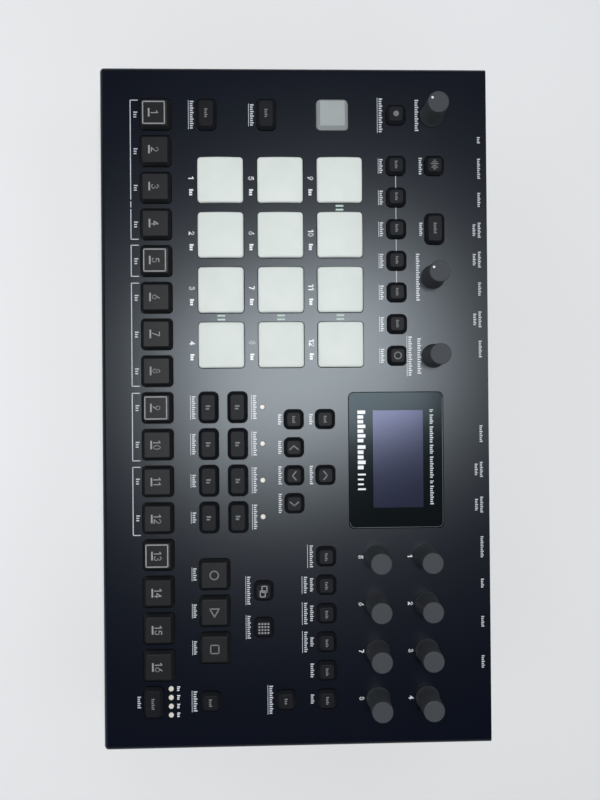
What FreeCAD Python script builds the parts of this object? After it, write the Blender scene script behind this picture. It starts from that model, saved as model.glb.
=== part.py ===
import FreeCAD, Part
import math
import os

from FreeCAD import Placement, Rotation, Vector

# A drum machine: sixteen step keys, twelve pads, eleven knobs and a display on the sloping
# top of a folded steel case, with its sockets along the rear. Millimetres; X to the right,
# Y to the rear, Z up, and the origin on the table under the middle of the outline.
# A place on the panel is (u, v): u along X from the middle, v up the slope from a line just
# behind the front fold.
# A height h stands square to the panel, 0 on its painted face.

# Case
WIDTH = 389.0
PANEL_LENGTH = 221.4
FRONT_MARGIN = 1.5
PANEL_SLOPE = 7.0
FRONT_HEIGHT = 41.3
SHEET = 1.2
FOLD_RADIUS = 2.5
LIP_WIDTH = 9.0
LIP_END_GAP = 15.0
REAR_INSET = 1.0
FIT_GAP = 0.3
CUTOUT_GAP = 0.2

# Feet, floor and screws
FOOT_HEIGHT = 4.0
FOOT_RADIUS = 7.0
FOOT_TAPER = 0.8
FOOT_INSET_X = 18.0
FOOT_INSET_Y = 16.0
TRAY_THICKNESS = 1.0
TRAY_LIP_HEIGHT = 6.5
SCREW_RADIUS = 1.45
SCREW_HOLE_RADIUS = 1.6
SCREW_HEAD_RADIUS = 2.75
SCREW_HEAD_HEIGHT = 1.5
SCREW_HEAD_ROUND = 0.6
SCREW_LENGTH = 5.0
SIDE_SCREWS_V = (40.0, 108.0, 176.0)
FRONT_SCREWS_X = (-120.0, 0.0, 120.0)
REAR_SCREWS_X = (-178.0, -8.0, 118.0, 178.0)
REAR_SCREW_HEIGHT = 58.0
REAR_TAB_WIDTH = 12.0
REAR_TAB_REACH = 4.5

# Grid of the controls on the panel
COLUMN_PITCH = 20.9
LEFT_COLUMN_U = -8 * COLUMN_PITCH
RIGHT_COLUMN_U = 8 * COLUMN_PITCH
STEP_COUNT = 16
STEP_ROW_V = 30.0
TRANSPORT_ROW_V = 61.7
TRANSPORT_FIRST_U = 95.0
PAD_COLUMNS = 4
PAD_ROWS_V = (66.6, 100.7, 134.7)
PAD_PITCH = 31.4
PAD_CENTRE_U = -82.6
MODE_ROW_V = 167.2
MODE_PITCH = 18.2
MODE_FIRST_U = -138.0
MODE_COUNT = 7
UPPER_ROW_V = 189.3
SCENE_ROWS_V = (58.9, 75.4)
SCENE_COLUMNS = 4
SCENE_LIGHT_V = 89.5
CURSOR_FIRST_U = 7.2
CURSOR_PITCH = 16.0
CURSOR_ROWS_V = (107.4, 125.3)
PAGE_ROW_V = 125.3
PAGE_PITCH = 16.3
PAGE_COUNT = 6
SONG_FIRST_U = 104.7
SONG_ROW_V = 89.5
KIT_KEYS_V = (59.0, 93.1)
BANK_KEY_V = 130.9
SAVE_KEY_V = 167.4
EFFECT_KEY_V = 101.8
CHAIN_KEY_V = 26.7
CHAIN_LIGHT_V = 36.5
CHAIN_LIGHT_PITCH = 4.95
CHAIN_LIGHT_COUNT = 4

# Keys: the cap's base, its bevelled rise, the flange that keeps it in and the stem below
LARGE_KEY = 17.5
SMALL_KEY = 10.9
KEY_GAP = 0.45
LARGE_KEY_RISE = 2.8
SMALL_KEY_RISE = 2.5
KEY_SHOULDER = 0.3
LARGE_KEY_BEVEL = 1.7
SMALL_KEY_BEVEL = 1.6
LARGE_KEY_CORNER = 2.2
SMALL_KEY_CORNER = 2.9
TOP_CORNER_SHARE = 0.75
KEY_EDGE_RADIUS = 0.45
FLANGE_TOP = -1.5
FLANGE_THICKNESS = 1.0
FLANGE_WIDTH = 1.1
KEY_STEM_RADIUS = 1.5
KEY_STEM_END = -7.5

# Pads
PAD_SIZE = 26.0
PAD_GAP = 0.4
PAD_CORNER = 2.0
PAD_CROWN = 2.7
PAD_CROWN_RADIUS = 95.0
PAD_EDGE_RADIUS = 1.1
PAD_FOOT = 20.0
PAD_FOOT_END = -8.6
SENSOR_THICKNESS = 0.3

# Knobs: a cap on a spindle that turns in a body on the board
KNOB_BASE_RADIUS = 6.9
KNOB_WAIST_RADIUS = 6.25
KNOB_WAIST_HEIGHT = 4.5
KNOB_TOP_RADIUS = 5.85
KNOB_HEIGHT = 17.0
KNOB_LIFT = 0.5
KNOB_EDGE_RADIUS = 0.6
SPINDLE_RADIUS = 3.0
SPINDLE_END = -8.2
SPINDLE_HOLE_RADIUS = 4.2
DATA_KNOBS_U = 86.5
DATA_KNOB_PITCH = 27.0
DATA_KNOB_COLUMNS = 4
DATA_KNOB_ROWS_V = (183.0, 154.6)
VOLUME_KNOB = (LEFT_COLUMN_U, 188.3)
PERFORMANCE_KNOB = (-74.0, 188.3)
LEVEL_KNOB = (-28.6, 188.3)

# Display
WINDOW = (78.0, 54.4)
WINDOW_CORNER = 3.0
WINDOW_CENTRE = (31.1, 166.1)
WINDOW_RISE = 0.3
WINDOW_LEDGE = 2.2
WINDOW_LEDGE_THICKNESS = 1.4
SCREEN_GLASS = (61.0, 33.0)
SCREEN_CENTRE = (30.8, 167.8)
SCREEN_TOP = -2.9
SCREEN_THICKNESS = 2.2
SCREEN_BOARD = (66.0, 40.0)
SCREEN_SPACER_RADIUS = 2.0

# Control board under the panel
BOARD_TOP = -10.0
BOARD_THICKNESS = 1.6
BOARD_HALF_WIDTH = 187.0
BOARD_V = (8.0, 208.0)
BOARD_STUD_RADIUS = 2.5
BOARD_STUDS = ((-182.0, 12.0), (-60.0, 12.0), (60.0, 12.0), (182.0, 12.0), (-183.0, 112.0),
               (-10.0, 112.0), (78.0, 112.0), (183.0, 112.0), (-182.0, 204.0), (-48.0, 204.0),
               (78.0, 204.0), (182.0, 204.0))
SWITCH_SIZE = 6.2
SWITCH_TOP = -5.5
SWITCH_HOLE_DEPTH = 4.0
ENCODER_SIZE = 12.4
ENCODER_TOP = -3.5
ENCODER_HOLE_DEPTH = 5.5
LIGHT_RADIUS = 1.45
LIGHT_RISE = 0.4
LIGHT_ROUND = 0.35
LIGHT_GAP = 0.15

# Main board and rear sockets
MAIN_BOARD_HEIGHT = 12.0
MAIN_BOARD_X = (-166.0, 162.0)
MAIN_BOARD_DEPTH = 78.0
MAIN_STUD_RADIUS = 3.0
MAIN_STUDS_X = (-158.0, -20.0, 68.0, 155.0)
MAIN_STUD_INSETS = (40.0, 72.0)
CHIP_ROW = 22.0
CHIPS = ((-120.0, 24.0, 2.4), (-84.0, 18.0, 1.6), (-30.0, 20.0, 3.0), (8.0, 28.0, 1.6),
         (52.0, 16.0, 1.8), (96.0, 22.0, 6.0), (136.0, 14.0, 8.0))
JACK_FIRST_X = -153.3
JACK_PITCH = 17.27
JACK_COLUMNS = 8
CONTROL_JACK_X = 81.6
JACK_WIDTH = 15.4
JACK_TIER = 18.8
JACK_BODY_DEPTH = 28.0
JACK_BORE_RADIUS = 3.25
JACK_BORE_LENGTH = 33.0
JACK_NOSE_RADIUS = 4.7
JACK_NOSE_LENGTH = 6.6
JACK_NOSE_CHAMFER = 0.5
MIDI_FIRST_X = 16.4
MIDI_PITCH = 20.5
MIDI_COUNT = 3
MIDI_BODY = 19.5
MIDI_BODY_DEPTH = 13.0
MIDI_SHELL_RADIUS = 7.6
MIDI_SHELL_RISE = 0.4
MIDI_GROOVE = (6.9, 5.5)
MIDI_GROOVE_DEPTH = 8.0
MIDI_PIN_CIRCLE = 3.75
MIDI_PIN_RADIUS = 0.8
MIDI_PINS = 5
USB_X = 102.5
USB_BODY = (12.0, 16.0, 11.0)
USB_MOUTH = (8.45, 7.8)
USB_TONGUE = (5.6, 3.2)
USB_DEPTH = 9.0
USB_CHAMFER = 1.5
ROOT_OVERLAP = 0.5
PIN_INSET = 1.0
DC_X = 124.5
DC_BODY = (9.4, 14.0, 11.0)
DC_BORE_RADIUS = 3.15
DC_PIN_RADIUS = 1.0
DC_DEPTH = 9.5
SWITCH_X = 147.6
SWITCH_HEIGHT = 24.0
SWITCH_BEZEL = (21.0, 15.0)
SWITCH_BODY = (18.6, 12.8)
SWITCH_BODY_DEPTH = 15.0
SWITCH_BEZEL_THICKNESS = 1.6
SWITCH_CORNER = 1.5
SWITCH_CAVITY = (15.6, 10.6)
SWITCH_CAVITY_DEPTH = 9.0
ROCKER_PIVOT_DEPTH = 1.5
ROCKER_TILT = 10.0
ROCKER_OUTLINE = ((-6.9, 1.0), (-6.7, 4.3), (0.0, 3.0), (6.7, 4.3), (6.9, 1.0), (2.2, -3.6), (-2.2, -3.6))
TRUNNION_RADIUS = 1.0
TRUNNION_END = 5.9

# Derived places
SLOPE = math.radians(PANEL_SLOPE)
BODY_DEPTH = PANEL_LENGTH * math.cos(SLOPE)
FRONT_Y = -(BODY_DEPTH - REAR_INSET + JACK_NOSE_LENGTH) / 2
REAR_Y = FRONT_Y + BODY_DEPTH
REAR_FACE_Y = REAR_Y - REAR_INSET
REAR_INNER_Y = REAR_FACE_Y - SHEET
TRAY_TOP = FOOT_HEIGHT + TRAY_THICKNESS
MAIN_BOARD_TOP = MAIN_BOARD_HEIGHT + BOARD_THICKNESS
TILT = Rotation(Vector(1, 0, 0), PANEL_SLOPE)
UP = Vector(0, 0, 1)
REARWARD = Vector(0, 1, 0)


def panel_height(y, depth=0.0):
    """Height of the panel's face at y, or of a face that lies a depth below it."""
    return FRONT_HEIGHT + (y - FRONT_Y) * math.tan(SLOPE) - depth / math.cos(SLOPE)


def on_panel(shape, place):
    """A copy of a shape that was made about (0, 0) and h 0, set down at its (u, v)."""
    u, v = place
    copy = shape.copy()
    origin = Vector(0, FRONT_Y, FRONT_HEIGHT) + TILT.multVec(Vector(u, v + FRONT_MARGIN, 0))
    copy.Placement = Placement(origin, TILT)
    return copy


def box(x, y, z):
    """A box from its lowest and highest x, y and z."""
    return Part.makeBox(x[1] - x[0], y[1] - y[0], z[1] - z[0], Vector(x[0], y[0], z[0]))


def block_about(centre_x, width, y, centre_z, height):
    """A box with a centre in X and Z, from one y to another."""
    return box((centre_x - width / 2, centre_x + width / 2), y,
               (centre_z - height / 2, centre_z + height / 2))


def disc(radius, low, high):
    """A cylinder about the Z axis between two heights."""
    return Part.makeCylinder(radius, high - low, Vector(0, 0, low), UP)


def rod_along_y(radius, x, z, y):
    """A cylinder along Y, between two values of y."""
    return Part.makeCylinder(radius, y[1] - y[0], Vector(x, y[0], z), REARWARD)


def rounded_wire(width, depth, radius, height):
    """A rounded rectangle about the Z axis."""
    x, y = width / 2 - radius, depth / 2 - radius
    corners = ((x, y), (-x, y), (-x, -y), (x, -y))
    arcs = []
    for turn, (cx, cy) in enumerate(corners):
        circle = Part.Circle(Vector(cx, cy, height), UP, radius)
        start = turn * math.pi / 2
        arcs.append(Part.Arc(circle, start, start + math.pi / 2).toShape())
    edges = []
    for arc, following in zip(arcs, arcs[1:] + arcs[:1]):
        edges.append(arc)
        edges.append(Part.LineSegment(arc.Vertexes[-1].Point, following.Vertexes[0].Point).toShape())
    return Part.Wire(edges)


def rounded_block(width, depth, radius, low, high):
    """An upright block with round corners."""
    return Part.Face(rounded_wire(width, depth, radius, low)).extrude(Vector(0, 0, high - low))


def fused(first, *others):
    """One solid made of touching solids."""
    return first.multiFuse(list(others)).removeSplitter()


def level_edges(shape, height):
    """The edges of a shape that lie at one height."""
    return [e for e in shape.Edges if all(abs(v.Z - height) < 1e-6 for v in e.Vertexes)]


def save(node, *solids):
    """Writes one node, of one solid or a group of them."""
    shape = solids[0] if len(solids) == 1 else Part.makeCompound(list(solids))
    shape.exportStep(os.path.join("parts", node + ".step"))


def row(first, pitch, count):
    """Evenly spaced places along one line."""
    return [first + pitch * i for i in range(count)]


def numbered(name, count):
    """Names with two figures, from 01 on."""
    return [f"{name}_{i + 1:02d}" for i in range(count)]


# Places of the controls, as (u, v)
STEP_KEYS = [(u, STEP_ROW_V) for u in row(LEFT_COLUMN_U, COLUMN_PITCH, STEP_COUNT)]
TRANSPORT_KEYS = [(u, TRANSPORT_ROW_V) for u in row(TRANSPORT_FIRST_U, COLUMN_PITCH, 3)]
PADS = [(u, v) for v in PAD_ROWS_V
        for u in row(PAD_CENTRE_U - PAD_PITCH * (PAD_COLUMNS - 1) / 2, PAD_PITCH, PAD_COLUMNS)]
MODE_KEYS = [(u, MODE_ROW_V) for u in row(MODE_FIRST_U, MODE_PITCH, MODE_COUNT)]
SOURCE_KEY = (MODE_FIRST_U, UPPER_ROW_V)
MUTE_KEY = (MODE_FIRST_U + 2 * MODE_PITCH, UPPER_ROW_V)
SCENE_KEYS = [(u, v) for v in SCENE_ROWS_V for u in row(0, COLUMN_PITCH, SCENE_COLUMNS)]
CURSOR_KEYS = [(u, CURSOR_ROWS_V[0]) for u in row(CURSOR_FIRST_U, CURSOR_PITCH, 4)]
CURSOR_KEYS += [(u, CURSOR_ROWS_V[1]) for u in row(CURSOR_FIRST_U, 2 * CURSOR_PITCH, 2)]
PAGE_FIRST_U = RIGHT_COLUMN_U - PAGE_PITCH * (PAGE_COUNT - 1)
PAGE_KEYS = [(u, PAGE_ROW_V) for u in row(PAGE_FIRST_U, PAGE_PITCH, PAGE_COUNT)]
SONG_KEYS = [(u, SONG_ROW_V) for u in row(SONG_FIRST_U, COLUMN_PITCH, 2)]
KIT_KEYS = [(LEFT_COLUMN_U, v) for v in KIT_KEYS_V]
BANK_KEY = (LEFT_COLUMN_U, BANK_KEY_V)
SAVE_KEY = (LEFT_COLUMN_U, SAVE_KEY_V)
EFFECT_KEY = (RIGHT_COLUMN_U, EFFECT_KEY_V)
FILL_KEY = (RIGHT_COLUMN_U, KIT_KEYS_V[0])
CHAIN_KEY = (RIGHT_COLUMN_U, CHAIN_KEY_V)
DATA_KNOBS = [(u, v) for v in DATA_KNOB_ROWS_V
              for u in row(DATA_KNOBS_U, DATA_KNOB_PITCH, DATA_KNOB_COLUMNS)]
KNOBS = [VOLUME_KNOB, PERFORMANCE_KNOB, LEVEL_KNOB] + DATA_KNOBS
CHAIN_FIRST_U = RIGHT_COLUMN_U - CHAIN_LIGHT_PITCH * (CHAIN_LIGHT_COUNT - 1) / 2
CHAIN_LIGHTS = [(u, CHAIN_LIGHT_V) for u in row(CHAIN_FIRST_U, CHAIN_LIGHT_PITCH, CHAIN_LIGHT_COUNT)]
SCENE_LIGHTS = [(u, SCENE_LIGHT_V) for u in row(0, COLUMN_PITCH, SCENE_COLUMNS)]
SQUARE_KEYS = STEP_KEYS + TRANSPORT_KEYS + [BANK_KEY]
LONG_KEYS = SCENE_KEYS + KIT_KEYS + [MUTE_KEY, CHAIN_KEY]
UTILITY_KEYS = PAGE_KEYS + SONG_KEYS + [SAVE_KEY, EFFECT_KEY, FILL_KEY]
SMALL_KEYS = MODE_KEYS + [SOURCE_KEY] + CURSOR_KEYS + UTILITY_KEYS

# Places of the sockets, as (x, z)
LOWER_TIER_Z = MAIN_BOARD_TOP + JACK_TIER / 2
UPPER_TIER_Z = LOWER_TIER_Z + JACK_TIER
OUTPUT_JACKS_X = row(JACK_FIRST_X, JACK_PITCH, JACK_COLUMNS)
JACKS = [(OUTPUT_JACKS_X[0], LOWER_TIER_Z)]
JACKS += [(x, z) for x in OUTPUT_JACKS_X[1:] + [CONTROL_JACK_X] for z in (LOWER_TIER_Z, UPPER_TIER_Z)]
MIDI_SOCKETS_X = row(MIDI_FIRST_X, MIDI_PITCH, MIDI_COUNT)
MIDI_Z = MAIN_BOARD_TOP + MIDI_BODY / 2
USB_Z = MAIN_BOARD_TOP + USB_BODY[2] / 2
DC_Z = MAIN_BOARD_TOP + DC_BODY[2] / 2
ROCKER_PIVOT = Vector(SWITCH_X, REAR_FACE_Y - ROCKER_PIVOT_DEPTH, SWITCH_HEIGHT)


def case_block(inset):
    """The case's wedge, with its walls drawn in by an inset and its folds rounded to match."""
    beyond = 1.0 if inset else 0.0
    front, rear = FRONT_Y + inset, REAR_Y + beyond
    bottom = FOOT_HEIGHT - beyond
    left = inset - WIDTH / 2
    front_top, rear_top = panel_height(front, inset), panel_height(rear, inset)
    outline = [(front, bottom), (front, front_top), (rear, rear_top), (rear, bottom)]
    points = [Vector(left, y, z) for y, z in outline]
    block = Part.Face(Part.makePolygon(points + points[:1])).extrude(Vector(WIDTH - 2 * inset, 0, 0))
    ridge = [e for e in block.Edges
             if any(abs(v.Y - front) < 1e-6 and v.Z > bottom + 1 for v in e.Vertexes)]
    return block.makeFillet(FOLD_RADIUS - inset, ridge)


def panel_openings():
    """Everything that is cut through the panel for keys, pads, spindles, lights and window."""
    low, high = -3.0, 3.0
    grow = 2 * KEY_GAP
    square = rounded_block(LARGE_KEY + grow, LARGE_KEY + grow, LARGE_KEY_CORNER + KEY_GAP, low, high)
    long = rounded_block(LARGE_KEY + grow, SMALL_KEY + grow, SMALL_KEY_CORNER + KEY_GAP, low, high)
    small = rounded_block(SMALL_KEY + grow, SMALL_KEY + grow, SMALL_KEY_CORNER + KEY_GAP, low, high)
    pad = rounded_block(PAD_SIZE + 2 * PAD_GAP, PAD_SIZE + 2 * PAD_GAP, PAD_CORNER + PAD_GAP, low, high)
    spindle = disc(SPINDLE_HOLE_RADIUS, low, high)
    light = disc(LIGHT_RADIUS + LIGHT_GAP, low, high)
    corner = WINDOW_CORNER + FIT_GAP / 2
    window = rounded_block(WINDOW[0] + FIT_GAP, WINDOW[1] + FIT_GAP, corner, low, high)
    groups = ((square, SQUARE_KEYS), (long, LONG_KEYS), (small, SMALL_KEYS), (pad, PADS),
              (spindle, KNOBS), (light, CHAIN_LIGHTS + SCENE_LIGHTS), (window, [WINDOW_CENTRE]))
    return Part.makeCompound([on_panel(shape, place) for shape, places in groups for place in places])


def side_lip_x(side):
    """The x of a side lip's two edges, lowest first, the outer one within the side's sheet."""
    edges = (side * (WIDTH / 2 - SHEET / 2), side * (WIDTH / 2 - SHEET - LIP_WIDTH))
    return min(edges), max(edges)


def floor_screws():
    """Places in X and Y of the screws that go up through the tray into the cover's lips."""
    mid = LIP_WIDTH / 2 + SHEET
    places = [(side * (WIDTH / 2 - mid), FRONT_Y + v) for side in (-1, 1) for v in SIDE_SCREWS_V]
    return places + [(x, FRONT_Y + mid) for x in FRONT_SCREWS_X]


def floor_screw_holes():
    """Clearance through the tray and the cover's lips for each of the floor's screws."""
    length = 4 * SHEET
    return [Part.makeCylinder(SCREW_HOLE_RADIUS, length, Vector(x, y, FOOT_HEIGHT - SHEET), UP)
            for x, y in floor_screws()]


def top_cover():
    """One sheet of steel: the panel, its front and sides folded down, lips folded in at the foot."""
    shell = case_block(0.0).cut(case_block(SHEET))
    lip_z = (TRAY_TOP, TRAY_TOP + SHEET)
    lip_y = (FRONT_Y + LIP_END_GAP, REAR_INNER_Y - LIP_END_GAP)
    added = [box(side_lip_x(side), lip_y, lip_z) for side in (-1, 1)]
    half = WIDTH / 2 - LIP_END_GAP
    added.append(box((-half, half), (FRONT_Y + SHEET / 2, FRONT_Y + SHEET + LIP_WIDTH), lip_z))
    tab_y = (REAR_INNER_Y - SHEET, REAR_INNER_Y)
    tab_z = (REAR_SCREW_HEIGHT - REAR_TAB_REACH, panel_height(tab_y[0], SHEET / 2))
    added += [box((x - REAR_TAB_WIDTH / 2, x + REAR_TAB_WIDTH / 2), tab_y, tab_z) for x in REAR_SCREWS_X]
    stud = disc(BOARD_STUD_RADIUS, BOARD_TOP, -SHEET / 2)
    added += [on_panel(stud, place) for place in BOARD_STUDS]
    cover = fused(shell, *added)
    through = (REAR_INNER_Y - 2 * SHEET, REAR_INNER_Y + SHEET)
    holes = floor_screw_holes()
    holes += [rod_along_y(SCREW_HOLE_RADIUS, x, REAR_SCREW_HEIGHT, through) for x in REAR_SCREWS_X]
    return cover.cut(Part.makeCompound(holes)).cut(panel_openings())


def base_tray():
    """The steel floor, with a lip up the inside of the rear panel and studs for the main board."""
    half = WIDTH / 2 - SHEET - FIT_GAP
    front = FRONT_Y + SHEET + FIT_GAP
    plate = box((-half, half), (front, REAR_INNER_Y), (FOOT_HEIGHT, TRAY_TOP))
    corners = [e for e in plate.Edges if all(abs(v.Y - front) < 1e-6 for v in e.Vertexes)
               and abs(e.Vertexes[0].Z - e.Vertexes[1].Z) > SHEET / 2]
    plate = plate.makeFillet(FOLD_RADIUS, corners)
    lip_y = (REAR_INNER_Y - TRAY_THICKNESS, REAR_INNER_Y)
    lip = box((-half, half), lip_y, (FOOT_HEIGHT, FOOT_HEIGHT + TRAY_LIP_HEIGHT))
    tall = MAIN_BOARD_HEIGHT - FOOT_HEIGHT
    studs = [Part.makeCylinder(MAIN_STUD_RADIUS, tall, Vector(x, REAR_INNER_Y - inset, FOOT_HEIGHT), UP)
             for x in MAIN_STUDS_X for inset in MAIN_STUD_INSETS]
    return fused(plate, lip, *studs).cut(Part.makeCompound(floor_screw_holes()))


def rear_panel():
    """A flat steel plate that closes the rear, drilled for every socket."""
    half = WIDTH / 2 - SHEET - FIT_GAP
    top = panel_height(REAR_INNER_Y, SHEET) - FIT_GAP
    plate = box((-half, half), (REAR_INNER_Y, REAR_FACE_Y), (FOOT_HEIGHT, top))
    corners = [e for e in level_edges(plate, top) if abs(e.Vertexes[0].X - e.Vertexes[1].X) < 1e-6]
    plate = plate.makeFillet(FOLD_RADIUS, corners)
    through = (REAR_INNER_Y - 1, REAR_FACE_Y + 1)
    cuts = [rod_along_y(JACK_NOSE_RADIUS + CUTOUT_GAP, x, z, through) for x, z in JACKS]
    cuts += [rod_along_y(MIDI_SHELL_RADIUS + CUTOUT_GAP, x, MIDI_Z, through) for x in MIDI_SOCKETS_X]
    blocks = ((USB_X, USB_Z, USB_BODY[0], USB_BODY[2]), (DC_X, DC_Z, DC_BODY[0], DC_BODY[2]),
              (SWITCH_X, SWITCH_HEIGHT, SWITCH_BODY[0], SWITCH_BODY[1]))
    for x, z, width, height in blocks:
        cuts.append(block_about(x, width + 2 * CUTOUT_GAP, through, z, height + 2 * CUTOUT_GAP))
    cuts += [rod_along_y(SCREW_HOLE_RADIUS, x, REAR_SCREW_HEIGHT, through) for x in REAR_SCREWS_X]
    return plate.cut(Part.makeCompound(cuts))


def rubber_feet():
    """Four round feet, slightly coned, on the floor's corners."""
    x = WIDTH / 2 - FOOT_INSET_X
    rows = (FRONT_Y + FOOT_INSET_Y, REAR_Y - FOOT_INSET_Y)
    return [Part.makeCone(FOOT_RADIUS - FOOT_TAPER, FOOT_RADIUS, FOOT_HEIGHT, Vector(side * x, y, 0), UP)
            for side in (-1, 1) for y in rows]


def screw(point, direction):
    """A pan-head screw whose head bears on a point and whose shank runs along a direction."""
    back = point - direction * SCREW_HEAD_HEIGHT
    head = Part.makeCylinder(SCREW_HEAD_RADIUS, SCREW_HEAD_HEIGHT, back, direction)
    head = head.makeFillet(SCREW_HEAD_ROUND, round_edges(head, back))
    return fused(head, Part.makeCylinder(SCREW_RADIUS, SCREW_LENGTH, point, direction))


def round_edges(shape, point):
    """The round edge about a point on a shape's axis."""
    return [e for e in shape.Edges if len(e.Vertexes) == 1 and e.CenterOfMass.isEqual(point, 1e-6)]


def case_screws():
    """Screws that hold the tray to the cover and the rear panel to the cover's tabs."""
    below = [screw(Vector(x, y, FOOT_HEIGHT), UP) for x, y in floor_screws()]
    behind = [screw(Vector(x, REAR_FACE_Y, REAR_SCREW_HEIGHT), -REARWARD) for x in REAR_SCREWS_X]
    return below + behind


def key(width, depth, corner, rise, bevel):
    """A key cap about (0, 0): bevelled top, flange under the panel, and a stem into its switch."""
    top = rounded_wire(width - 2 * bevel, depth - 2 * bevel, corner - TOP_CORNER_SHARE * bevel, rise)
    cap = Part.makeLoft([rounded_wire(width, depth, corner, KEY_SHOULDER), top], True, True)
    cap = cap.makeFillet(KEY_EDGE_RADIUS, level_edges(cap, rise))
    skirt = rounded_block(width, depth, corner, FLANGE_TOP, KEY_SHOULDER)
    flange = rounded_block(width + 2 * FLANGE_WIDTH, depth + 2 * FLANGE_WIDTH, corner + FLANGE_WIDTH,
                           FLANGE_TOP - FLANGE_THICKNESS, FLANGE_TOP)
    stem = disc(KEY_STEM_RADIUS, KEY_STEM_END, FLANGE_TOP - FLANGE_THICKNESS)
    return fused(skirt, cap, flange, stem)


def pad():
    """A silicone pad about (0, 0): crowned face with rolled edges, flange, and a foot over its sensor."""
    block = rounded_block(PAD_SIZE, PAD_SIZE, PAD_CORNER, FLANGE_TOP, PAD_CROWN + 1)
    ball = Part.makeSphere(PAD_CROWN_RADIUS, Vector(0, 0, PAD_CROWN - PAD_CROWN_RADIUS))
    face = block.common(ball)
    rim = [e for e in face.Edges if min(v.Z for v in e.Vertexes) > FLANGE_TOP + 0.5]
    face = face.makeFillet(PAD_EDGE_RADIUS, rim)
    wide = PAD_SIZE + 2 * FLANGE_WIDTH
    flange_low = FLANGE_TOP - FLANGE_THICKNESS
    flange = rounded_block(wide, wide, PAD_CORNER + FLANGE_WIDTH, flange_low, FLANGE_TOP)
    foot = rounded_block(PAD_FOOT, PAD_FOOT, PAD_CORNER, PAD_FOOT_END, flange_low)
    return fused(face, flange, foot)


def knob():
    """A turned knob about (0, 0): flared foot, slim sides, flat top with a soft edge, and its spindle."""
    foot = Vector(KNOB_BASE_RADIUS, 0, KNOB_LIFT)
    waist = Vector(KNOB_WAIST_RADIUS, 0, KNOB_WAIST_HEIGHT)
    flare = Vector(KNOB_WAIST_RADIUS + 0.2, 0, (KNOB_LIFT + KNOB_WAIST_HEIGHT) / 2)
    shoulder = Vector(KNOB_TOP_RADIUS, 0, KNOB_HEIGHT - KNOB_EDGE_RADIUS)
    edge = Vector(KNOB_TOP_RADIUS - KNOB_EDGE_RADIUS, 0, KNOB_HEIGHT)
    turn = KNOB_EDGE_RADIUS * (1 - math.sqrt(0.5))
    middle = Vector(KNOB_TOP_RADIUS - turn, 0, KNOB_HEIGHT - turn)
    outline = [Part.Arc(foot, flare, waist).toShape(), Part.LineSegment(waist, shoulder).toShape(),
               Part.Arc(shoulder, middle, edge).toShape()]
    inner = [edge, Vector(0, 0, KNOB_HEIGHT), Vector(0, 0, SPINDLE_END),
             Vector(SPINDLE_RADIUS, 0, SPINDLE_END), Vector(SPINDLE_RADIUS, 0, KNOB_LIFT), foot]
    outline += [Part.LineSegment(a, b).toShape() for a, b in zip(inner, inner[1:])]
    return Part.Face(Part.Wire(outline)).revolve(Vector(0, 0, 0), UP, 360)


def display_window():
    """The clear window, flush in the panel, with a ledge glued up against the panel from below."""
    pane = rounded_block(WINDOW[0], WINDOW[1], WINDOW_CORNER, -SHEET, WINDOW_RISE)
    pane = pane.makeChamfer(WINDOW_RISE / 2, level_edges(pane, WINDOW_RISE))
    width, depth = WINDOW[0] + 2 * WINDOW_LEDGE, WINDOW[1] + 2 * WINDOW_LEDGE
    ledge_low = -SHEET - WINDOW_LEDGE_THICKNESS
    ledge = rounded_block(width, depth, WINDOW_CORNER + WINDOW_LEDGE, ledge_low, -SHEET)
    return on_panel(fused(pane, ledge), WINDOW_CENTRE)


def display_module():
    """The screen's glass on its small board, on four spacers over the control board."""
    board_top = SCREEN_TOP - SCREEN_THICKNESS
    board_low = board_top - BOARD_THICKNESS
    glass = rounded_block(SCREEN_GLASS[0], SCREEN_GLASS[1], 1, board_top, SCREEN_TOP)
    board = rounded_block(SCREEN_BOARD[0], SCREEN_BOARD[1], 1.5, board_low, board_top)
    spacers = []
    for side in (-1, 1):
        for end in (-1, 1):
            spacer = disc(SCREEN_SPACER_RADIUS, BOARD_TOP, board_low)
            spacer.translate(Vector(side * (SCREEN_BOARD[0] / 2 - 4), end * (SCREEN_BOARD[1] / 2 - 4), 0))
            spacers.append(spacer)
    return on_panel(fused(glass, board, *spacers), SCREEN_CENTRE)


def control_board():
    """The board under the panel, with a push switch for each key, a turning body for each knob
    and a force sensor for each pad."""
    span = BOARD_V[1] - BOARD_V[0]
    board = rounded_block(2 * BOARD_HALF_WIDTH, span, 3, BOARD_TOP - BOARD_THICKNESS, BOARD_TOP)
    switch = rounded_block(SWITCH_SIZE, SWITCH_SIZE, 0.6, BOARD_TOP, SWITCH_TOP)
    switch = switch.cut(disc(KEY_STEM_RADIUS + FIT_GAP, SWITCH_TOP - SWITCH_HOLE_DEPTH, SWITCH_TOP + 1))
    encoder = rounded_block(ENCODER_SIZE, ENCODER_SIZE, 0.8, BOARD_TOP, ENCODER_TOP)
    hole_low = ENCODER_TOP - ENCODER_HOLE_DEPTH
    encoder = encoder.cut(disc(SPINDLE_RADIUS + FIT_GAP, hole_low, ENCODER_TOP + 1))
    sensor = rounded_block(PAD_FOOT, PAD_FOOT, 1, BOARD_TOP, BOARD_TOP + SENSOR_THICKNESS)
    solids = [on_panel(board, (0, (BOARD_V[0] + BOARD_V[1]) / 2))]
    groups = ((switch, SQUARE_KEYS + LONG_KEYS + SMALL_KEYS), (encoder, KNOBS), (sensor, PADS))
    for shape, places in groups:
        solids += [on_panel(shape, place) for place in places]
    return solids


def indicator_lights():
    """Round light guides from the board up to the panel's face."""
    guide = disc(LIGHT_RADIUS, BOARD_TOP, LIGHT_RISE)
    guide = guide.makeFillet(LIGHT_ROUND, round_edges(guide, Vector(0, 0, LIGHT_RISE)))
    return [on_panel(guide, place) for place in CHAIN_LIGHTS + SCENE_LIGHTS]


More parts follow.
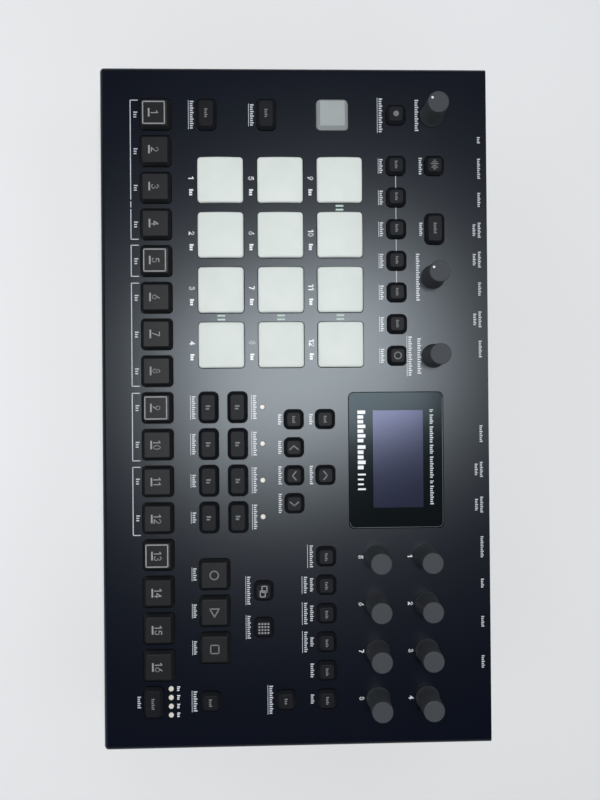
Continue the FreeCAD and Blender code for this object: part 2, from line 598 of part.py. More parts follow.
def main_board():
    """The board on the floor's studs, under the sockets, with its larger chips."""
    y = (REAR_INNER_Y - MAIN_BOARD_DEPTH, REAR_INNER_Y - SHEET)
    board = box(MAIN_BOARD_X, y, (MAIN_BOARD_HEIGHT, MAIN_BOARD_TOP))
    middle = y[0] + CHIP_ROW
    chips = []
    for x, size, tall in CHIPS:
        half = size / 2
        chips.append(box((x - half, x + half), (middle - half, middle + half),
                         (MAIN_BOARD_TOP, MAIN_BOARD_TOP + tall)))
    return fused(board, *chips)


def jack_socket(x, z):
    """A quarter-inch socket: a body, a threaded nose through the rear panel, and one blind bore."""
    nose_end = REAR_FACE_Y + JACK_NOSE_LENGTH
    body = block_about(x, JACK_WIDTH, (REAR_INNER_Y - JACK_BODY_DEPTH, REAR_INNER_Y), z, JACK_TIER)
    nose = rod_along_y(JACK_NOSE_RADIUS, x, z, (REAR_INNER_Y, nose_end))
    nose = nose.makeChamfer(JACK_NOSE_CHAMFER, round_edges(nose, Vector(x, nose_end, z)))
    bore = rod_along_y(JACK_BORE_RADIUS, x, z, (nose_end - JACK_BORE_LENGTH, nose_end + 1))
    return fused(body, nose).cut(bore)


def midi_socket(x):
    """A five-pin round socket, with a groove for the plug's skirt and a hole for each pin."""
    face = REAR_FACE_Y + MIDI_SHELL_RISE
    mouth = (face - MIDI_GROOVE_DEPTH, face + 1)
    body_y = (REAR_INNER_Y - MIDI_BODY_DEPTH, REAR_INNER_Y)
    body = block_about(x, MIDI_BODY, body_y, MIDI_Z, MIDI_BODY)
    shell = rod_along_y(MIDI_SHELL_RADIUS, x, MIDI_Z, (REAR_INNER_Y, face))
    outer, inner = (rod_along_y(radius, x, MIDI_Z, mouth) for radius in MIDI_GROOVE)
    socket = fused(body, shell).cut(outer.cut(inner))
    pins = []
    for i in range(MIDI_PINS):
        angle = math.radians(180 * i / (MIDI_PINS - 1))
        pin_x = x + MIDI_PIN_CIRCLE * math.cos(angle)
        pin_z = MIDI_Z - MIDI_PIN_CIRCLE * math.sin(angle)
        pins.append(rod_along_y(MIDI_PIN_RADIUS, pin_x, pin_z, mouth))
    return socket.cut(Part.makeCompound(pins))


def usb_socket():
    """A square data socket with its tongue."""
    width, depth, height = USB_BODY
    mouth = (REAR_FACE_Y - USB_DEPTH, REAR_FACE_Y + 1)
    body = block_about(USB_X, width, (REAR_FACE_Y - depth, REAR_FACE_Y), USB_Z, height)
    hollow = block_about(USB_X, USB_MOUTH[0], mouth, USB_Z, USB_MOUTH[1])
    upper = [e for e in hollow.Edges if all(v.Z > USB_Z for v in e.Vertexes)
             and abs(e.Vertexes[0].Y - e.Vertexes[1].Y) > 1]
    hollow = hollow.makeChamfer(USB_CHAMFER, upper)
    tongue_y = (mouth[0] - ROOT_OVERLAP, REAR_FACE_Y - PIN_INSET)
    tongue = block_about(USB_X, USB_TONGUE[0], tongue_y, USB_Z, USB_TONGUE[1])
    return fused(body.cut(hollow), tongue)


def dc_socket():
    """A round power inlet with its centre pin."""
    width, depth, height = DC_BODY
    body = block_about(DC_X, width, (REAR_FACE_Y - depth, REAR_FACE_Y), DC_Z, height)
    bore = rod_along_y(DC_BORE_RADIUS, DC_X, DC_Z, (REAR_FACE_Y - DC_DEPTH, REAR_FACE_Y + 1))
    pin_y = (REAR_FACE_Y - DC_DEPTH - ROOT_OVERLAP, REAR_FACE_Y - PIN_INSET)
    pin = rod_along_y(DC_PIN_RADIUS, DC_X, DC_Z, pin_y)
    return fused(body.cut(bore), pin)


def power_switch():
    """The rocker switch's housing, clipped into the rear panel, open at the rear for its rocker."""
    bezel_y = (REAR_FACE_Y, REAR_FACE_Y + SWITCH_BEZEL_THICKNESS)
    bezel = block_about(SWITCH_X, SWITCH_BEZEL[0], bezel_y, SWITCH_HEIGHT, SWITCH_BEZEL[1])
    upright = [e for e in bezel.Edges if abs(e.Vertexes[0].Y - e.Vertexes[1].Y) > 1]
    bezel = bezel.makeFillet(SWITCH_CORNER, upright)
    body_y = (REAR_FACE_Y - SWITCH_BODY_DEPTH, REAR_FACE_Y)
    body = block_about(SWITCH_X, SWITCH_BODY[0], body_y, SWITCH_HEIGHT, SWITCH_BODY[1])
    cavity_y = (bezel_y[1] - SWITCH_CAVITY_DEPTH, bezel_y[1] + 1)
    cavity = block_about(SWITCH_X, SWITCH_CAVITY[0], cavity_y, SWITCH_HEIGHT, SWITCH_CAVITY[1])
    seat = disc(TRUNNION_RADIUS + FIT_GAP, -TRUNNION_END - FIT_GAP, TRUNNION_END + FIT_GAP)
    seat.translate(ROCKER_PIVOT)
    return fused(bezel, body).cut(fused(cavity, seat))


def power_rocker():
    """The rocker, tipped to its off side, on trunnions that turn in the housing."""
    half = SWITCH_CAVITY[1] / 2 - FIT_GAP
    points = [Vector(x, y, -half) for x, y in ROCKER_OUTLINE]
    rocker = Part.Face(Part.makePolygon(points + points[:1])).extrude(Vector(0, 0, 2 * half))
    rocker = fused(rocker, disc(TRUNNION_RADIUS, -TRUNNION_END, TRUNNION_END))
    rocker.Placement = Placement(ROCKER_PIVOT, Rotation(UP, -ROCKER_TILT))
    return rocker


def build():
    """Writes every node."""
    os.makedirs("parts", exist_ok=True)
    save("top_cover", top_cover())
    save("base_tray", base_tray())
    save("rear_panel", rear_panel())
    save("rubber_feet", *rubber_feet())
    save("case_screws", *case_screws())
    save("display_window", display_window())
    save("display_module", display_module())
    save("control_board", *control_board())
    save("main_board", main_board())
    save("indicator_lights", *indicator_lights())
    save("jack_sockets", *[jack_socket(x, z) for x, z in JACKS])
    save("midi_sockets", *[midi_socket(x) for x in MIDI_SOCKETS_X])
    save("usb_socket", usb_socket())
    save("dc_socket", dc_socket())
    save("power_switch", power_switch())
    save("power_rocker", power_rocker())

    square_key = key(LARGE_KEY, LARGE_KEY, LARGE_KEY_CORNER, LARGE_KEY_RISE, LARGE_KEY_BEVEL)
    long_key = key(LARGE_KEY, SMALL_KEY, SMALL_KEY_CORNER, SMALL_KEY_RISE, SMALL_KEY_BEVEL)
    small_key = key(SMALL_KEY, SMALL_KEY, SMALL_KEY_CORNER, SMALL_KEY_RISE, SMALL_KEY_BEVEL)
    for name, place in zip(numbered("step_key", STEP_COUNT), STEP_KEYS):
        save(name, on_panel(square_key, place))
    save("transport_keys", *[on_panel(square_key, place) for place in TRANSPORT_KEYS])
    save("scene_keys", *[on_panel(long_key, place) for place in SCENE_KEYS])
    save("cursor_keys", *[on_panel(small_key, place) for place in CURSOR_KEYS])
    functions = [on_panel(small_key, place) for place in MODE_KEYS + [SOURCE_KEY] + UTILITY_KEYS]
    functions += [on_panel(long_key, place) for place in KIT_KEYS + [MUTE_KEY, CHAIN_KEY]]
    save("function_keys", *functions)
    save("bank_key", on_panel(square_key, BANK_KEY))

    soft_pad = pad()
    for name, place in zip(numbered("pad", len(PADS)), PADS):
        save(name, on_panel(soft_pad, place))
    turned_knob = knob()
    save("volume_knob", on_panel(turned_knob, VOLUME_KNOB))
    save("performance_knob", on_panel(turned_knob, PERFORMANCE_KNOB))
    save("level_knob", on_panel(turned_knob, LEVEL_KNOB))
    for name, place in zip(numbered("data_knob", len(DATA_KNOBS)), DATA_KNOBS):
        save(name, on_panel(turned_knob, place))


build()
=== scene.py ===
import math

import bmesh
import bpy
from mathutils import Matrix, Vector


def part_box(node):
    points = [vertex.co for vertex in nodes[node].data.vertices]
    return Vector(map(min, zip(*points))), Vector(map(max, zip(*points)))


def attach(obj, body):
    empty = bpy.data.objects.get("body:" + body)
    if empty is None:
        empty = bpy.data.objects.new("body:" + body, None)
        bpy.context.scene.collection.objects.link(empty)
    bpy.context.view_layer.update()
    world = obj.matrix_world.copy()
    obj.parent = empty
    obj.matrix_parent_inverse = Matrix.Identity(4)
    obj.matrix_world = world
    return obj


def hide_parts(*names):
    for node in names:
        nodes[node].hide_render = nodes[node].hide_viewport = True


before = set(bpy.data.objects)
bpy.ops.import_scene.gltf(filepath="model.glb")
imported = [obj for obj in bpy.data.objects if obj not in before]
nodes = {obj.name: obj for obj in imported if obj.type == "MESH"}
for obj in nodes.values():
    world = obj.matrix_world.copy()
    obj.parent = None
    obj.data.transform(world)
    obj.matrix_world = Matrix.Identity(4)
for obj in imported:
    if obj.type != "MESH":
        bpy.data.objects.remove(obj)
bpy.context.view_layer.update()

# The panel's own frame. Every control sits on the sloping top, so places are given in
# millimetres as u to the right from the middle, v up the slope from a line just behind the
# front fold, and h square to the paint. PANEL turns that into the row frame's metres.
PANEL_SLOPE = math.radians(7)
FRONT_MARGIN = 1.5
case_low, case_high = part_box("top_cover")
front_height = case_high.z - (case_high.y - case_low.y) * math.tan(PANEL_SLOPE)
PANEL = (Matrix.Translation((0, case_low.y, front_height)) @ Matrix.Rotation(PANEL_SLOPE, 4, "X")
         @ Matrix.Scale(0.001, 4) @ Matrix.Translation((0, FRONT_MARGIN, 0)))
PANEL_NORMAL = (PANEL.to_3x3() @ Vector((0, 0, 1))).normalized()


def on_panel(u, v, h=0.0):
    """The point of the row frame at a place on the panel."""
    return PANEL @ Vector((u, v, h))


# The camera. A hand-held view from over the front edge, almost square on to the panel, with
# the machine's right end at the picture's foot.
IMAGE_HEIGHT = 800
FOCAL_PIXELS = 625.45
CAMERA_PLACE = (-0.00266, -0.05357, 0.40923)
PICTURE_RIGHT = Vector((0.008325, 0.989093, 0.147054))
VIEW_DIRECTION = Vector((-0.00325, 0.147085, -0.989119))

camera_data = bpy.data.cameras.new("camera")
camera_data.sensor_width = 36
camera_data.lens = camera_data.sensor_width * FOCAL_PIXELS / IMAGE_HEIGHT
camera_data.clip_start = 0.02
camera = bpy.data.objects.new("camera", camera_data)
bpy.context.scene.collection.objects.link(camera)
picture_up = VIEW_DIRECTION.cross(-PICTURE_RIGHT).normalized()
camera.matrix_world = (Matrix.Translation(CAMERA_PLACE)
                       @ Matrix((PICTURE_RIGHT, picture_up, -VIEW_DIRECTION)).transposed().to_4x4())
bpy.context.scene.camera = camera

# The room: a pale table top, one broad ceiling panel lamp, pale walls and a dark ceiling. The
# lamp hangs where its reflection falls between the pads and the display, as a soft sheen that
# is longer up the slope than along it.
bpy.context.scene.view_settings.view_transform = "Standard"
TABLE_COLOUR = "#eaeaeb"
TABLE_SIZE = 3.0
SHEEN_PLACE = (-22.5, 114.5)
LAMP_DISTANCE = 1.5
LAMP_LENGTH = 0.70
LAMP_WIDTH = 0.465
LAMP_TURN = math.radians(16)
LAMP_POWER = 19.4
WALL_STRENGTH = 0.6
CEILING_STRENGTH = 0.012
WALL_TOP = math.radians(32)
CEILING_FOOT = math.radians(48)


def colour(value):
    """An sRGB hex colour as linear red, green, blue and alpha."""
    parts = [int(value[i:i + 2], 16) / 255 for i in (1, 3, 5)]
    return [p / 12.92 if p <= 0.04045 else ((p + 0.055) / 1.055) ** 2.4 for p in parts] + [1.0]


def add_node(tree, kind, settings=None, **links):
    """A shader node of a kind, with its settings, sockets given by name, and links into it."""
    node = tree.nodes.new("ShaderNode" + kind)
    for name, value in (settings or {}).items():
        if hasattr(node, name):
            setattr(node, name, value)
        else:
            node.inputs[name].default_value = value
    for name, source in links.items():
        tree.links.new(source, node.inputs[name.replace("_", " ")])
    return node


def new_material(name, base, roughness, **settings):
    """A named material with one Principled shader, and the parts that a pattern is linked to."""
    material = bpy.data.materials.new(name)
    material.use_nodes = True
    tree = material.node_tree
    shader = tree.nodes["Principled BSDF"]
    shader.inputs["Base Color"].default_value = colour(base)
    shader.inputs["Roughness"].default_value = roughness
    for socket, value in settings.items():
        shader.inputs[socket.replace("_", " ")].default_value = value
    return material, tree, shader


def grain(tree, shader, size_mm, height_mm, strength=1.0, detail=2.0):
    """A fine bump, sized in millimetres, on Object coordinates."""
    place = add_node(tree, "TexCoord")
    noise = add_node(tree, "TexNoise", {"Scale": 1000 / size_mm, "Detail": detail},
                     Vector=place.outputs["Object"])
    bump = add_node(tree, "Bump", {"Distance": height_mm / 1000, "Strength": strength},
                    Height=noise.outputs["Fac"])
    tree.links.new(bump.outputs["Normal"], shader.inputs["Normal"])


def vary(tree, shader, socket, size_mm, low, high):
    """Drifts a socket between two values over patches of a size in millimetres."""
    place = add_node(tree, "TexCoord")
    noise = add_node(tree, "TexNoise", {"Scale": 1000 / size_mm, "Detail": 3.0},
                     Vector=place.outputs["Object"])
    spread = add_node(tree, "MapRange", {"From Min": 0.3, "From Max": 0.7}, Value=noise.outputs["Fac"])
    if isinstance(low, str):
        blend = add_node(tree, "Mix", {"data_type": "RGBA"}, Factor=spread.outputs["Result"])
        blend.inputs[6].default_value = colour(low)
        blend.inputs[7].default_value = colour(high)
        tree.links.new(blend.outputs[2], shader.inputs[socket])
    else:
        spread.inputs["To Min"].default_value = low
        spread.inputs["To Max"].default_value = high
        tree.links.new(spread.outputs["Result"], shader.inputs[socket])


def link_piece(name, mesh, material):
    """An object at the origin with one material."""
    piece = bpy.data.objects.new(name, mesh)
    bpy.context.scene.collection.objects.link(piece)
    mesh.materials.append(material)
    return piece


def dress(names, material):
    """Gives one material to carried-over nodes."""
    for name in names:
        nodes[name].data.materials.clear()
        nodes[name].data.materials.append(material)


table_paint, tree, shader = new_material("pale_laminate_table", TABLE_COLOUR, 0.6)
vary(tree, shader, "Base Color", 400, "#e8e8e9", "#ecedee")
bm = bmesh.new()
bmesh.ops.create_grid(bm, x_segments=1, y_segments=1, size=TABLE_SIZE / 2)
mesh = bpy.data.meshes.new("table_top")
bm.to_mesh(mesh)
bm.free()
link_piece("table_top", mesh, table_paint)

eye = Vector(CAMERA_PLACE)
to_sheen = (on_panel(*SHEEN_PLACE) - eye).normalized()
to_lamp = to_sheen - 2 * to_sheen.dot(PANEL_NORMAL) * PANEL_NORMAL
lamp_data = bpy.data.lights.new("ceiling_lamp", "AREA")
lamp_data.shape = "RECTANGLE"
lamp_data.size = LAMP_WIDTH
lamp_data.size_y = LAMP_LENGTH
lamp_data.energy = LAMP_POWER
lamp_data.color = colour("#fdfeff")[:3]
lamp = bpy.data.objects.new("ceiling_lamp", lamp_data)
bpy.context.scene.collection.objects.link(lamp)
along_lamp = PANEL.to_3x3() @ Vector((-math.sin(LAMP_TURN), math.cos(LAMP_TURN), 0))
along_lamp = (along_lamp - along_lamp.dot(to_lamp) * to_lamp).normalized()
across_lamp = along_lamp.cross(to_lamp)
lamp.matrix_world = (Matrix.Translation(on_panel(*SHEEN_PLACE) + to_lamp * LAMP_DISTANCE)
                     @ Matrix((across_lamp, along_lamp, to_lamp)).transposed().to_4x4())

world = bpy.data.worlds.new("room")
world.use_nodes = True
bpy.context.scene.world = world
background = world.node_tree.nodes["Background"]
background.inputs["Color"].default_value = colour("#f4f7fb")
sky = add_node(world.node_tree, "TexCoord")
height = add_node(world.node_tree, "SeparateXYZ", Vector=sky.outputs["Generated"])
level = add_node(world.node_tree, "MapRange", {
    "From Min": math.sin(WALL_TOP), "From Max": math.sin(CEILING_FOOT),
    "To Min": WALL_STRENGTH, "To Max": CEILING_STRENGTH}, Value=height.outputs["Z"])
world.node_tree.links.new(level.outputs["Result"], background.inputs["Strength"])

# Top cover: one sheet of 1.2 mm steel, folded down at the front and both ends and sprayed
# with a satin blue-black paint. The paint's fine orange peel softens what it mirrors.
satin_paint, tree, shader = new_material("satin_blue_black_enamel", "#000312", 0.288,
                                         Specular_IOR_Level=0.43, Specular_Tint=(0.85, 0.945, 1.0, 1.0))
grain(tree, shader, 1.2, 0.01, 0.2)
vary(tree, shader, "Roughness", 60, 0.283, 0.293)
dress(["top_cover"], satin_paint)

# Base tray and rear panel: flat steel plates in a finer, drier black powder coat, screwed
# to the cover's lips.
powder_coat, tree, shader = new_material("black_powder_coat", "#141416", 0.55)
grain(tree, shader, 0.5, 0.02, 0.5)
dress(["base_tray", "rear_panel"], powder_coat)

# Print on the panel: light grey screen-printed ink, a few hundredths of a millimetre thick.
# Words are left as rows of plain blocks; only numbers and plain signs are drawn.
INK_LOW, INK_HIGH = -0.02, 0.03
ink, tree, shader = new_material("pale_grey_screen_ink", "#bcc2c9", 0.3, Specular_IOR_Level=0.41)
vary(tree, shader, "Base Color", 3, "#b2b8bf", "#c2c8ce")
white_ink, tree, shader = new_material("white_screen_ink", "#d9dde1", 0.3, Specular_IOR_Level=0.41)
vary(tree, shader, "Base Color", 3, "#d8dce0", "#e6eaec")
key_ink, tree, shader = new_material("mid_grey_pad_print_ink", "#8b8d90", 0.6)
vary(tree, shader, "Base Color", 3, "#85878b", "#929497")
dim_ink, tree, shader = new_material("grey_pad_print_ink", "#6b6d70", 0.6)
vary(tree, shader, "Base Color", 3, "#646669", "#727477")
# Not print: a near-black laid as a line round the display window, as painted shade in the gap between the
# pane and the panel's cut-out.
gap_shade_paint, tree, shader = new_material("painted_gap_shade", "#04060a", 0.6, Specular_IOR_Level=0.1)
vary(tree, shader, "Base Color", 3, "#030508", "#06080c")
# Not print: a pale grey for a painted highlight, the light that the display window's edge catches.
highlight_strip_paint, tree, shader = new_material("painted_highlight_on_acrylic_edge", "#495359", 0.3)
vary(tree, shader, "Base Color", 20, "#434d53", "#505b61")
mint_ink, tree, shader = new_material("mint_screen_ink", "#b4cbc2", 0.6)
vary(tree, shader, "Base Color", 3, "#b0c6bc", "#bdd0c8")


def slab(bm, u, v, width, depth, h=0.0, turn=0.0):
    """A thin rectangle of ink with its centre at a place, turned about the panel's normal."""
    place = (Matrix.Translation((u, v, h + (INK_LOW + INK_HIGH) / 2)) @ Matrix.Rotation(turn, 4, "Z")
             @ Matrix.Diagonal((width, depth, INK_HIGH - INK_LOW, 1)))
    bmesh.ops.create_cube(bm, size=1, matrix=place)


def line(bm, start, end, width, h=0.0):
    """A thin straight line of ink between two places."""
    a, b = Vector(start), Vector(end)
    middle, run = (a + b) / 2, b - a
    slab(bm, middle.x, middle.y, run.length + width, width, h, math.atan2(run.y, run.x))


def path(bm, places, width, h=0.0):
    """Straight lines of ink from place to place."""
    for start, end in zip(places, places[1:]):
        line(bm, start, end, width, h)


def frame_of(bm, u, v, width, depth, thickness, h=0.0):
    """A rectangle drawn in outline."""
    x, y = width / 2, depth / 2
    path(bm, [(u - x, v - y), (u + x, v - y), (u + x, v + y), (u - x, v + y), (u - x, v - y)], thickness, h)


def ring(bm, u, v, radius, thickness, h=0.0, segments=40):
    """A circle drawn in outline: a thin section spun round the place."""
    centre = Vector((u, v, h))
    section = [(radius - thickness / 2, INK_LOW), (radius + thickness / 2, INK_LOW),
               (radius + thickness / 2, INK_HIGH), (radius - thickness / 2, INK_HIGH)]
    corners = [bm.verts.new(centre + Vector((x, 0, z))) for x, z in section]
    edges = [bm.edges.new((corners[i], corners[(i + 1) % 4])) for i in range(4)]
    bmesh.ops.spin(bm, geom=corners + edges, cent=centre, axis=(0, 0, 1), angle=2 * math.pi,
                   steps=segments, use_merge=True)


def spot(bm, u, v, radius, h=0.0, segments=24):
    """A round dot of ink."""
    place = Matrix.Translation((u, v, h + (INK_LOW + INK_HIGH) / 2))
    bmesh.ops.create_cone(bm, cap_ends=True, segments=segments, radius1=radius, radius2=radius,
                          depth=INK_HIGH - INK_LOW, matrix=place)


def word(bm, u, v, length, height, h=0.0, cover=0.6):
    """A word's place: a row of small blocks of uneven height, with no letters in it."""
    count = max(2, round(length / (height * 0.62)))
    pitch = length / count
    for i in range(count):
        tall = height if i % 5 in (0, 3) else height * 0.74
        slab(bm, u - length / 2 + pitch * (i + 0.5), v - (height - tall) / 2, pitch * cover, tall, h)


def bow(x, y, wide, tall, start, end, count=9):
    """Points along part of an ellipse, its angles in degrees."""
    angles = [math.radians(start + (end - start) * i / count) for i in range(count + 1)]
    return [(x + wide * math.cos(a), y + tall * math.sin(a)) for a in angles]


# Plain figures as single strokes, about the middle of a figure one unit tall.
SIX = [(0.15, 0.46), (-0.16, 0.06)] + bow(0, -0.18, 0.25, 0.28, 125, 485, 14)
FIGURES = {
    "0": [bow(0, 0, 0.25, 0.46, 0, 360, 16)],
    "1": [[(-0.2, 0.28), (0.04, 0.46), (0.04, -0.46)]],
    "2": [bow(0, 0.2, 0.25, 0.26, 160, -35) + [(-0.26, -0.46), (0.27, -0.46)]],
    "3": [bow(0, 0.23, 0.22, 0.23, 150, -90) + bow(0, -0.22, 0.26, 0.24, 90, -150)],
    "4": [[(0.12, -0.46), (0.12, 0.46), (-0.28, -0.16), (0.28, -0.16)]],
    "5": [[(0.22, 0.46), (-0.18, 0.46), (-0.21, 0.08)] + bow(0, -0.16, 0.26, 0.3, 125, -150)],
    "6": [SIX],
    "7": [[(-0.25, 0.46), (0.26, 0.46), (-0.1, -0.46)]],
    "8": [bow(0, 0.23, 0.2, 0.23, -90, 270, 14), bow(0, -0.22, 0.25, 0.24, 90, 450, 14)],
    "9": [[(-x, -y) for x, y in SIX]],
}


def number(bm, text, u, v, height, stroke, h=0.0):
    """A plain number drawn with strokes of one width, its baseline along +u."""
    for i, figure in enumerate(text):
        middle = u + (i - (len(text) - 1) / 2) * height * 0.66
        for points in FIGURES[figure]:
            path(bm, [(middle + x * height, v + y * height) for x, y in points], stroke, h)


def printed(name, bm, material, body):
    """Finishes one piece of print and fixes it to a body."""
    bmesh.ops.remove_doubles(bm, verts=bm.verts, dist=0.0005)
    bmesh.ops.recalc_face_normals(bm, faces=bm.faces)
    bm.transform(PANEL)
    mesh = bpy.data.meshes.new(name)
    bm.to_mesh(mesh)
    bm.free()
    piece = link_piece(name, mesh, material)
    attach(piece, body)


COLUMN = 20.9
LEFT_U, RIGHT_U = -8 * COLUMN, 8 * COLUMN
step_places = [(LEFT_U + COLUMN * i, 30.0) for i in range(16)]
pad_places = [(-82.6 + 31.4 * (i % 4 - 1.5), (66.6, 100.7, 134.7)[i // 4]) for i in range(12)]
data_knob_places = [(86.5 + 27 * (i % 4), (183.0, 154.6)[i // 4]) for i in range(8)]
mode_places = [(-138.0 + 18.2 * i, 167.2) for i in range(7)]
page_places = [(RIGHT_U - 16.3 * (5 - i), 125.3) for i in range(6)]
TRANSPORT_U, TRANSPORT_V = 95.0, 61.7
scene_places = [(COLUMN * i, v) for v in (58.9, 75.4) for i in range(4)]
cursor_places = {"confirm": (7.2, 107.4), "left": (23.2, 107.4), "down": (39.2, 107.4),
                 "right": (55.2, 107.4), "cancel": (7.2, 125.3), "up": (39.2, 125.3)}

# Brackets in front of the step keys, broken where two voices share a channel.
BRACKET_V, BRACKET_END_V = 15.7, 19.8
BRACKET_STROKE, DASH = 0.5, 1.2
VOICE_V, VOICE_LENGTH, VOICE_HEIGHT = 18.6, 4.0, 2.2
brackets = [(-175.4, -96.1, (-119.0, -113.0)), (-92.7, -75.0, ()), (-71.1, -12.4, ()),
            (-8.4, 30.0, ()), (33.7, 72.4, ())]
bm = bmesh.new()
for start, end, breaks in brackets:
    line(bm, (start, BRACKET_V), (start, BRACKET_END_V), BRACKET_STROKE)
    line(bm, (end, BRACKET_V), (end, BRACKET_END_V), BRACKET_STROKE)
    stops = [start, *breaks, end]
    for a, b in zip(stops[::2], stops[1::2]):
        line(bm, (a, BRACKET_V), (b, BRACKET_V), BRACKET_STROKE)
    for a, b in zip(breaks[::2], breaks[1::2]):
        for share in (0.35, 0.65):
            middle = a + (b - a) * share
            line(bm, (middle - DASH / 2, BRACKET_V), (middle + DASH / 2, BRACKET_V), BRACKET_STROKE)
for u, v in step_places[:12]:
    word(bm, u, VOICE_V, VOICE_LENGTH, VOICE_HEIGHT, cover=0.5)
printed("step_brackets_print", bm, ink, "chassis")

# Legends over, under and beside the keys and knobs.
LARGE_LEGEND, LEGEND, SCENE_LEGEND, SOCKET_LEGEND = 2.1, 1.9, 2.0, 1.7
UNDERLINE, LINK_STROKE, LINK_GAP = 0.3, 0.35, 5.9
bm = bmesh.new()
for u, v, length in ((LEFT_U, 50.6, 16.4), (LEFT_U, 84.9, 12.8), (LEFT_U, 158.8, 20.0),
                     (LEFT_U, 179.6, 18.5), (-74.0, 179.6, 27.5), (-28.6, 174.8, 23.0),
                     (-28.6, 180.0, 21.0), (RIGHT_U, 50.2, 12.0), (RIGHT_U, 93.3, 16.5)):
    word(bm, u, v, length, LARGE_LEGEND)
    if v not in (179.6, 180.0):
        line(bm, (u - length / 2, v - 1.9), (u + length / 2, v - 1.9), UNDERLINE)
for (u, v) in mode_places:
    word(bm, u, 158.8, 8.5, LEGEND)
    line(bm, (u - 4.2, 157.2), (u + 4.2, 157.2), UNDERLINE)
for (left, v), (right, v) in zip(mode_places[:4], mode_places[1:5]):
    line(bm, (left + LINK_GAP, v), (right - LINK_GAP, v), LINK_STROKE)
for u, length in zip((mode_places[0][0], mode_places[2][0]), (10.0, 8.0)):
    word(bm, u, 181.6, length, LEGEND)
for i, (rear, front) in enumerate(((14.0, 13.4), (14.0, 12.0), (15.0, 7.4), (14.4, 6.4))):
    word(bm, COLUMN * i, 85.2, rear, SCENE_LEGEND)
    line(bm, (COLUMN * i - rear / 2, 83.4), (COLUMN * i + rear / 2, 83.4), UNDERLINE)
    word(bm, COLUMN * i, 50.4, front, SCENE_LEGEND)
    line(bm, (COLUMN * i - front / 2, 48.6), (COLUMN * i + front / 2, 48.6), UNDERLINE)
for name, length in (("confirm", 6.4), ("left", 7.8), ("down", 10.7), ("right", 11.4), ("cancel", 6.4),
                     ("up", 11.0)):
    u, v = cursor_places[name]
    word(bm, u, v - 8.0, length, LEGEND)
for i, (u, v) in enumerate(page_places):
    length = (13.0, 8.0, 9.3, 5.6, 8.4, 5.6)[i]
    word(bm, u, v - 8.4, length, LEGEND)
    if i == 0:
        line(bm, (u - length / 2, v - 10.6), (u + length / 2, v - 10.6), UNDERLINE)
    if 1 <= i <= 3:
        length = (9.8, 12.6, 12.1)[i - 1]
        word(bm, u, v - 11.9, length, LEGEND)
        line(bm, (u - length / 2, v - 13.9), (u + length / 2, v - 13.9), UNDERLINE)
for u, length in ((104.7, 16.3), (125.6, 13.4)):
    word(bm, u, 81.0, length, LEGEND)
    line(bm, (u - length / 2, 79.3), (u + length / 2, 79.3), UNDERLINE)
for i, length in enumerate((7.5, 8.0, 8.0)):
    word(bm, TRANSPORT_U + COLUMN * i, 50.4, length, LEGEND)
    line(bm, (TRANSPORT_U + COLUMN * i - length / 2, 48.8),
         (TRANSPORT_U + COLUMN * i + length / 2, 48.8), UNDERLINE)
word(bm, RIGHT_U, 18.4, 7.0, LEGEND)
for u, length in ((-153, 4.0), (-136.5, 12.0), (-118.5, 8.5), (-101, 9.0), (-84, 9.5), (-67, 8.0),
                  (-49.5, 9.5), (-32.4, 10.0), (16.4, 10.0), (37.0, 9.0), (57.3, 9.5), (81.6, 12.5),
                  (102.5, 5.5), (124.5, 6.5), (147.6, 7.5)):
    word(bm, u, 215.4, length, SOCKET_LEGEND)
for u in (-101, -84, -49.5, 37.0, 57.3):
    word(bm, u, 212.4, 7.0, SOCKET_LEGEND)
printed("legend_print", bm, ink, "chassis")

# Numbers beside the pads and in front of the data knobs, in a stronger white, and the pairs
# of mint bars between pads that choke each other.
bm = bmesh.new()
for i, (u, v) in enumerate(pad_places):
    number(bm, str(i + 1), u - 1.2, v - 16.6, 2.9, 0.6)
    word(bm, u + 6.8, v - 16.6, 3.9, 2.3, cover=0.75)
for i, (u, v) in enumerate(data_knob_places):
    number(bm, str(i + 1), u, v - 9.4, 2.5, 0.6)
printed("number_print", bm, white_ink, "chassis")
bm = bmesh.new()
for left, right in ((8, 9), (2, 3), (6, 7), (10, 11)):
    middle = (pad_places[left][0] + pad_places[right][0]) / 2
    for side in (-1, 1):
        slab(bm, middle + side * 1.1, pad_places[left][1], 1.0, 4.4)
printed("choke_bars_print", bm, mint_ink, "chassis")

# Marks over the chain key's four lights.
bm = bmesh.new()
for i in range(4):
    word(bm, RIGHT_U + 4.95 * (i - 1.5), 40.7, 2.9, 1.7)
printed("chain_print", bm, white_ink, "chassis")

# Display window: a pane of clear acrylic, printed black on its underside round the screen,
# set flush in the panel. The screen's glass lies dark violet under it. A line of painted shade
# runs round the pane, and a painted highlight runs along its right and rear edges.
acrylic, tree, shader = new_material("smoked_matt_acrylic", "#0d1113", 0.16, Specular_IOR_Level=0.13,
                                     Specular_Tint=(0.7, 0.89, 1.0, 1.0))
vary(tree, shader, "Roughness", 25, 0.155, 0.165)
dress(["display_window"], acrylic)
SCREEN_CENTRE, SCREEN = (30.4, 167.2), (55.8, 28.8)
TITLE_V, TITLE_HEIGHT = 146.2, 4.5
LINE_V, LINE_HEIGHT = 186.6, 2.0
PANE_PRINT, GAP_SHADE_HEIGHT, HIGHLIGHT_HEIGHT = 0.3, 0.05, 0.35
GAP_SHADE_STROKE, HIGHLIGHT_STROKE = 0.6, 0.25
HIGHLIGHT_SHARE = (0.988, 0.983)
oled, tree, shader = new_material("unlit_oled_glass", "#161a2c", 0.2, Specular_IOR_Level=0.48,
                                  Specular_Tint=(0.6, 0.65, 1.0, 1.0))
vary(tree, shader, "Roughness", 30, 0.195, 0.205)
bm = bmesh.new()
slab(bm, *SCREEN_CENTRE, *SCREEN, h=PANE_PRINT)
